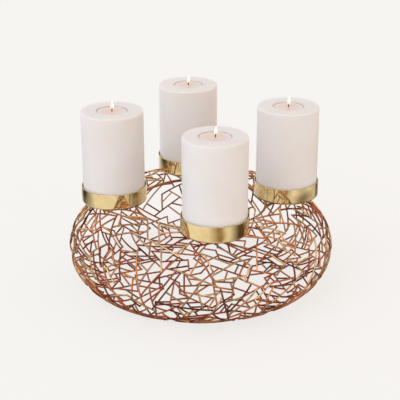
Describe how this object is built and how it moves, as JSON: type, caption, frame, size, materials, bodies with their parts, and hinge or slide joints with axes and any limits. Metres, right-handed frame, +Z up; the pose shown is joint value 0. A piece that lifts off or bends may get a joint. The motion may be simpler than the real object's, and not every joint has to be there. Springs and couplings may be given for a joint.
{
  "type": "advent candle holder",
  "caption": "Round hollow nest of short welded copper wires, open at the top, carrying polished cups for pillar candles with tea lights let into their tops.",
  "frame": {"origin": "middle of the nest's base, on the surface it stands on", "axes": "+Z up, -Y towards the front candle, +X towards the right candle"},
  "size_m": [0.3486, 0.3486, 0.2407],
  "materials": {
    "copper_wire": "steel wire, copper plated and polished",
    "polished_brass": "spun sheet, mirror polished",
    "braze": "as brazed",
    "candle_wax": "smooth wax with a soft sheen",
    "tea_light_wax": "warm wax, partly melted",
    "tea_light_foil": "thin drawn foil",
    "wick_cotton": "braided cotton, charred at the tip",
    "tin": "pressed tin"
  },
  "bodies": {
    "wire nest with cups": {"back_braze_beads": "braze", "back_candle_cup": "polished_brass", "back_lower_wires_a": "copper_wire", "back_lower_wires_b": "copper_wire", "back_lower_wires_c": "copper_wire", "back_upper_wires_a": "copper_wire", "back_upper_wires_b": "copper_wire", "back_upper_wires_c": "copper_wire", "front_braze_beads": "braze", "front_candle_cup": "polished_brass", "front_lower_wires_a": "copper_wire", "front_lower_wires_b": "copper_wire", "front_lower_wires_c": "copper_wire", "front_upper_wires_a": "copper_wire", "front_upper_wires_b": "copper_wire", "front_upper_wires_c": "copper_wire", "hole_rim_hoop": "copper_wire", "hole_rim_upper_hoop": "copper_wire", "left_braze_beads": "braze", "left_candle_cup": "polished_brass", "left_lower_wires_a": "copper_wire", "left_lower_wires_b": "copper_wire", "left_lower_wires_c": "copper_wire", "left_upper_wires_a": "copper_wire", "left_upper_wires_b": "copper_wire", "left_upper_wires_c": "copper_wire", "right_braze_beads": "braze", "right_candle_cup": "polished_brass", "right_lower_wires_a": "copper_wire", "right_lower_wires_b": "copper_wire", "right_lower_wires_c": "copper_wire", "right_upper_wires_a": "copper_wire", "right_upper_wires_b": "copper_wire", "right_upper_wires_c": "copper_wire"},
    "front pillar candle": {"front_candle": "candle_wax"},
    "front tea light": {"front_tea_light_shell": "tea_light_foil", "front_tea_light_wax": "tea_light_wax", "front_tea_light_wick": "wick_cotton", "front_wick_sustainer": "tin"},
    "right pillar candle": {"right_candle": "candle_wax"},
    "right tea light": {"right_tea_light_shell": "tea_light_foil", "right_tea_light_wax": "tea_light_wax", "right_tea_light_wick": "wick_cotton", "right_wick_sustainer": "tin"},
    "back pillar candle": {"back_candle": "candle_wax"},
    "back tea light": {"back_tea_light_shell": "tea_light_foil", "back_tea_light_wax": "tea_light_wax", "back_tea_light_wick": "wick_cotton", "back_wick_sustainer": "tin"},
    "left pillar candle": {"left_candle": "candle_wax"},
    "left tea light": {"left_tea_light_shell": "tea_light_foil", "left_tea_light_wax": "tea_light_wax", "left_tea_light_wick": "wick_cotton", "left_wick_sustainer": "tin"}
  },
  "joints": [
    {"name": "front_candle_lift", "type": "slide", "parent": "wire nest with cups", "child": "front pillar candle", "axis": [0, 0, 1], "range_m": [0, 0.03]},
    {"name": "front_tea_light_lift", "type": "slide", "parent": "front pillar candle", "child": "front tea light", "axis": [0, 0, 1], "range_m": [0, 0.025]},
    {"name": "right_candle_lift", "type": "slide", "parent": "wire nest with cups", "child": "right pillar candle", "axis": [0, 0, 1], "range_m": [0, 0.03]},
    {"name": "right_tea_light_lift", "type": "slide", "parent": "right pillar candle", "child": "right tea light", "axis": [0, 0, 1], "range_m": [0, 0.025]},
    {"name": "back_candle_lift", "type": "slide", "parent": "wire nest with cups", "child": "back pillar candle", "axis": [0, 0, 1], "range_m": [0, 0.03]},
    {"name": "back_tea_light_lift", "type": "slide", "parent": "back pillar candle", "child": "back tea light", "axis": [0, 0, 1], "range_m": [0, 0.025]},
    {"name": "left_candle_lift", "type": "slide", "parent": "wire nest with cups", "child": "left pillar candle", "axis": [0, 0, 1], "range_m": [0, 0.03]},
    {"name": "left_tea_light_lift", "type": "slide", "parent": "left pillar candle", "child": "left tea light", "axis": [0, 0, 1], "range_m": [0, 0.025]}
  ]
}
